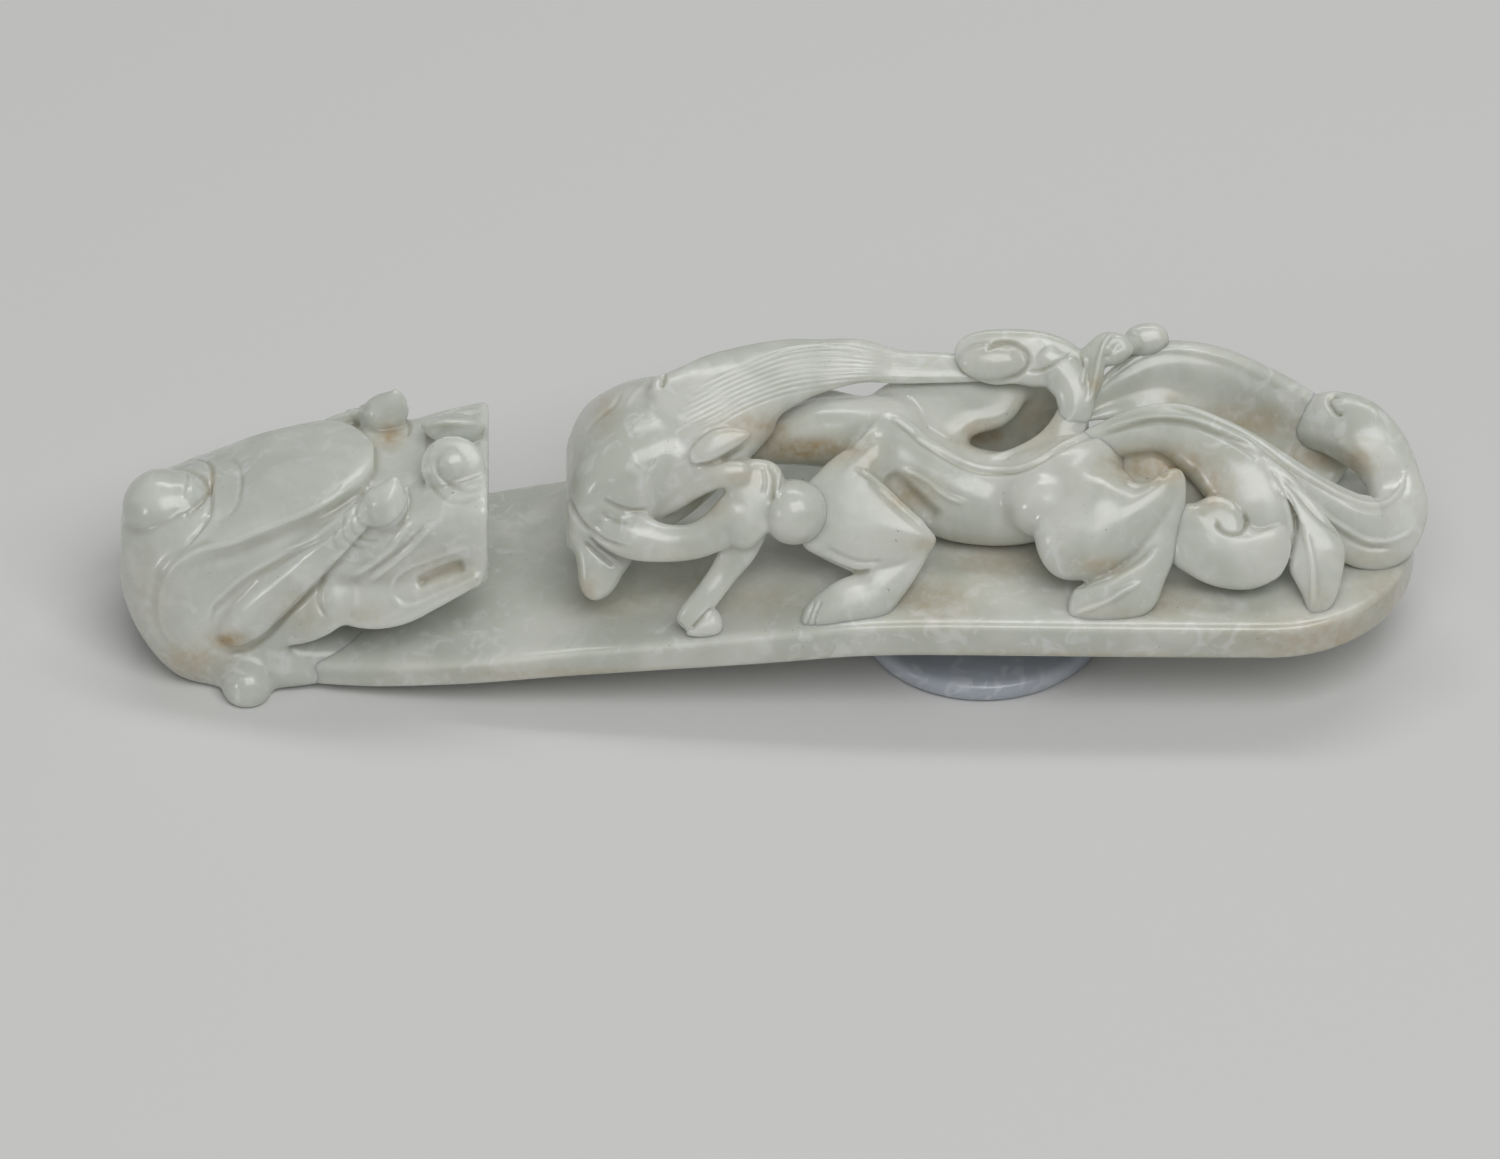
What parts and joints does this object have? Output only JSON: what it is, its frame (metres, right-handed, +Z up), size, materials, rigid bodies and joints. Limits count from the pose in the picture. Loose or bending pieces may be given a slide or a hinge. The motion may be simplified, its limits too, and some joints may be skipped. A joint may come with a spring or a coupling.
{
  "type": "jade belt hook",
  "caption": "Pale celadon jade belt hook with a turned-back dragon head, an openwork chilong on the tongue and a round button below.",
  "frame": {"origin": "middle of the plate that the hook rests on, under the centre of its bounding box", "axes": "+X along the hook from the dragon head to the tongue's round end, +Y away from the picture's viewer, +Z up"},
  "size_m": [0.12, 0.028, 0.0282],
  "materials": {
    "celadon": "polished",
    "pale_celadon": "polished",
    "bluish_white": "polished"
  },
  "bodies": {
    "root": {"tongue": "celadon", "button": "bluish_white", "button_stem": "bluish_white", "hook_neck": "pale_celadon", "hook_head": "pale_celadon", "crown_plate": "pale_celadon", "nape_curl": "pale_celadon", "near_eye": "pale_celadon", "near_nostril": "pale_celadon", "near_horn": "pale_celadon", "near_jaw": "pale_celadon", "near_neck_knob": "pale_celadon", "far_eye": "pale_celadon", "far_nostril": "pale_celadon", "far_horn": "pale_celadon", "far_jaw": "pale_celadon", "far_neck_knob": "pale_celadon", "chilong_head": "celadon", "near_ear": "celadon", "chin_tuft": "celadon", "mane": "celadon", "chilong_neck": "celadon", "leading_foreleg": "celadon", "leading_paw": "celadon", "shoulder_ball": "celadon", "trailing_upper_foreleg": "celadon", "trailing_lower_foreleg": "celadon", "body": "celadon", "hind_thigh": "celadon", "hind_shank": "celadon", "tail_band": "celadon", "tail_curl": "celadon", "leaf_tuft": "celadon", "tail_near_strand": "celadon", "tail_far_strand": "celadon", "far_tail_lobe": "celadon", "far_branch": "celadon", "cloud_scroll": "celadon", "cloud_stem": "celadon", "cloud_sprig": "celadon", "cloud_knob": "celadon"}
  },
  "joints": []
}
